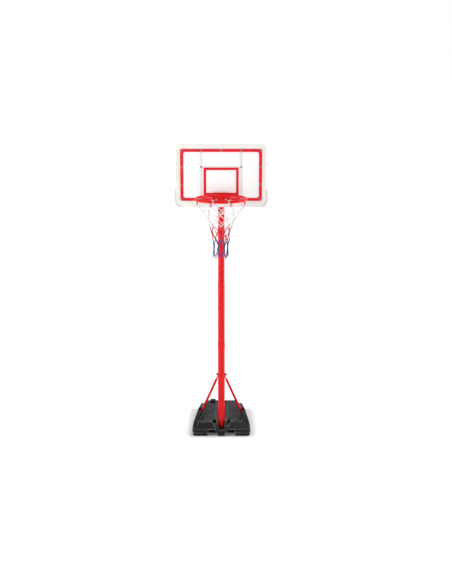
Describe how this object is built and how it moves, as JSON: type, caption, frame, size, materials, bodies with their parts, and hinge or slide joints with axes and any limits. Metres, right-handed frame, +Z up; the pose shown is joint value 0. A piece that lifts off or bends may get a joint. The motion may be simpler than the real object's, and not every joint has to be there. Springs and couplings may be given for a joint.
{
  "type": "portable basketball hoop",
  "caption": "Free-standing hoop: ballast tank with a braced telescopic pole, a bordered board, a ring with a cord net, height clamp knob and filler cap.",
  "frame": {"origin": "on the floor under the pole's axis, at the underside of the tank's pole seat", "axes": "+Z up along the pole, -Y from the board towards the player, +X to the player's right as they face the board"},
  "size_m": [0.6, 0.9455, 1.95],
  "materials": {
    "tank_plastic": "satin, blow-moulded",
    "cap_plastic": "satin",
    "knob_plastic": "satin",
    "seal_rubber": "matt",
    "red_paint": "gloss powder coat",
    "zinc": "zinc plated",
    "dark_zinc": "black zinc plated",
    "frame_plastic": "satin, moulded",
    "panel_plastic": "gloss sheet",
    "border_plastic": "gloss, moulded",
    "target_plastic": "gloss",
    "net_cord": "braided cord, white, red and blue bands"
  },
  "bodies": {
    "base": {"base_tank": "tank_plastic", "pole_foot_plug": "knob_plastic", "lower_pole": "red_paint", "middle_pole": "red_paint", "pole_joint_screw": "zinc", "seat_bolt": "zinc", "seat_nut": "zinc", "strut_right": "red_paint", "strut_left": "red_paint", "strut_bolt": "zinc", "strut_nut": "zinc", "strut_washers": "zinc", "strut_foot_screws": "zinc", "knob_boss": "red_paint"},
    "knob": {"knob_stud": "zinc", "height_knob": "knob_plastic"},
    "cap": {"filler_cap": "cap_plastic", "cap_seal": "seal_rubber"},
    "mast": {"upper_pole": "red_paint", "pole_top_cap": "knob_plastic", "board_frame": "frame_plastic", "board_panel": "panel_plastic", "board_border": "border_plastic", "board_target": "target_plastic", "corner_guard_right": "frame_plastic", "corner_guard_left": "frame_plastic", "guard_screws": "zinc", "board_screws": "dark_zinc", "board_washers": "zinc", "board_nuts": "zinc", "upper_bracket": "red_paint", "lower_bracket": "red_paint", "bracket_screws": "zinc", "bracket_bolts": "zinc", "bracket_nuts": "zinc", "ring_bracket": "red_paint", "ring_bolts": "zinc", "ring_nuts": "zinc", "ring": "red_paint", "ring_rails": "red_paint", "net_hooks": "red_paint", "net": "net_cord"}
  },
  "joints": [
    {"name": "height_slide", "type": "slide", "parent": "base", "child": "mast", "axis": [0, 0, 1], "range_m": [-0.46, 0]},
    {"name": "knob_turn", "type": "hinge", "parent": "base", "child": "knob", "pos_m": [0, 0.04, 1.008], "axis": [0, 1, 0], "range_deg": [0, 360]},
    {"name": "cap_turn", "type": "hinge", "parent": "base", "child": "cap", "pos_m": [-0.062, 0.438, 0.09], "axis": [0, 0, 1], "range_deg": [0, 360]}
  ]
}
